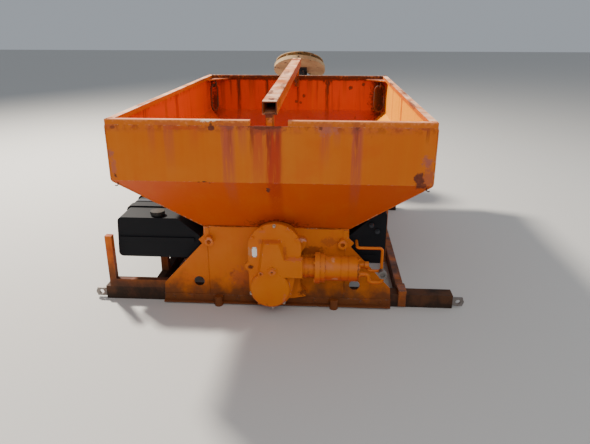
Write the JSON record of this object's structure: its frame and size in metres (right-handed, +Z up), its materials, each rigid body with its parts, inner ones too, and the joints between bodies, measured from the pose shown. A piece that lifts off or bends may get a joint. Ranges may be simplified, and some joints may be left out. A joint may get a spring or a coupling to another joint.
{
  "type": "demountable road gritter body with screw conveyor and fold-up spinner",
  "caption": "Road gritter body that stands on a truck's bed: open steel hopper with a driven screw under it and a spinner unit folded up behind.",
  "frame": {"origin": "on the floor under the centre of the whole stored machine's box", "axes": "+Z up, +X to the side of the hydraulic motor, -Y towards the gearbox end, which faces the truck's cab, +Y towards the spinner unit"},
  "size_m": [2.1538, 3.0032, 1.2998],
  "materials": {
    "orange_paint": "weathered orange paint with rust",
    "bare_steel": "dull, stained",
    "rusty_steel": "rusted",
    "black_plastic": "dusty black polyethylene",
    "salted_steel": "crusted with dried salt and rust"
  },
  "bodies": {
    "frame": {"hopper_front": "orange_paint", "hopper_rear": "orange_paint", "hopper_left": "orange_paint", "hopper_right": "orange_paint", "rim": "orange_paint", "trough": "orange_paint", "front_plate": "orange_paint", "rear_plate": "orange_paint", "front_beam": "orange_paint", "rear_beam": "orange_paint", "left_rail": "orange_paint", "right_rail": "orange_paint", "rear_props": "orange_paint", "top_beam": "orange_paint", "front_post": "orange_paint", "rear_post": "orange_paint", "corner_braces": "orange_paint", "left_bracket": "orange_paint", "right_bracket": "orange_paint", "gearbox": "orange_paint", "gearbox_cover": "orange_paint", "worm_neck": "orange_paint", "motor": "orange_paint", "oil_pipes": "orange_paint", "outlet_housing": "orange_paint", "hinge_ears": "orange_paint", "lashing_eyes": "bare_steel", "left_straps": "bare_steel", "right_tank_cap": "bare_steel", "front_bearing": "bare_steel", "rear_bearing": "bare_steel", "coupling_block": "bare_steel", "lifting_rings": "rusty_steel", "hanging_chain": "rusty_steel", "left_tank": "black_plastic", "left_tank_cap": "black_plastic", "right_tank": "black_plastic"},
    "screw": {"auger_flight": "rusty_steel", "auger_shaft": "bare_steel"},
    "spinner_unit": {"chute": "orange_paint", "fold_arms": "orange_paint", "spinner_motor": "bare_steel", "spinner_guard": "salted_steel"},
    "spinner_disc": {"spinner_disc": "salted_steel"}
  },
  "joints": [
    {"name": "screw_turn", "type": "hinge", "parent": "frame", "child": "screw", "pos_m": [0, -0.30161, 0.21], "axis": [0, 1, 0], "continuous": true},
    {"name": "spinner_fold", "type": "hinge", "parent": "frame", "child": "spinner_unit", "pos_m": [0, 0.89839, 0.4], "axis": [-1, 0, 0], "range_deg": [0, 150]},
    {"name": "spinner_turn", "type": "hinge", "parent": "spinner_unit", "child": "spinner_disc", "pos_m": [0, 1.30375, 1.1821], "axis": [0, -0.5, -0.866], "continuous": true}
  ]
}
